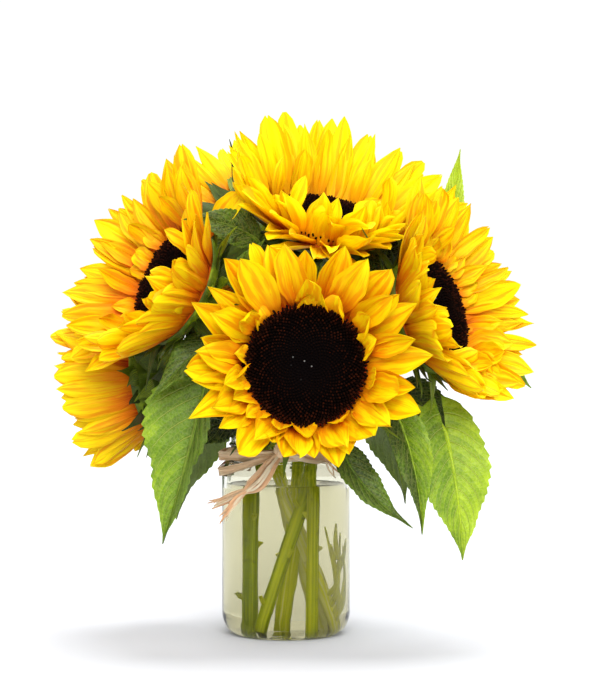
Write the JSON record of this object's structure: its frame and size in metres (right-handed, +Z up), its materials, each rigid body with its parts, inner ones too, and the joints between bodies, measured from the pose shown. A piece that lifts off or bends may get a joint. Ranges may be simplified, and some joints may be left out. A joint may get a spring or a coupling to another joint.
{
  "type": "sunflowers in a vase",
  "caption": "Bunch of cut sunflowers with leaves, standing in a clear glass preserving jar of water tied round its neck with raffia.",
  "frame": {"origin": "centre of the jar's flat base, which is the surface the object stands on", "axes": "+Z up; -Y is the side that the front bloom faces; +X is to the right seen from that side"},
  "size_m": [0.3003, 0.2251, 0.3272],
  "materials": {
    "glass": "gloss",
    "water": "gloss",
    "raffia": "matte",
    "petal": "satin",
    "disc": "matte",
    "leaf": "satin"
  },
  "bodies": {
    "root": {"jar": "glass", "water": "water", "raffia_tie": "raffia", "bloom_front_disc": "disc", "bloom_front_rays": "petal", "stem_front": "leaf", "bloom_left_disc": "disc", "bloom_left_rays": "petal", "stem_left": "leaf", "bloom_right_disc": "disc", "bloom_right_rays": "petal", "stem_right": "leaf", "bloom_top_disc": "disc", "bloom_top_rays": "petal", "stem_top": "leaf", "bloom_low_left_disc": "disc", "bloom_low_left_rays": "petal", "stem_low_left": "leaf", "bloom_rear_disc": "disc", "bloom_rear_rays": "petal", "stem_rear": "leaf"}
  },
  "joints": []
}
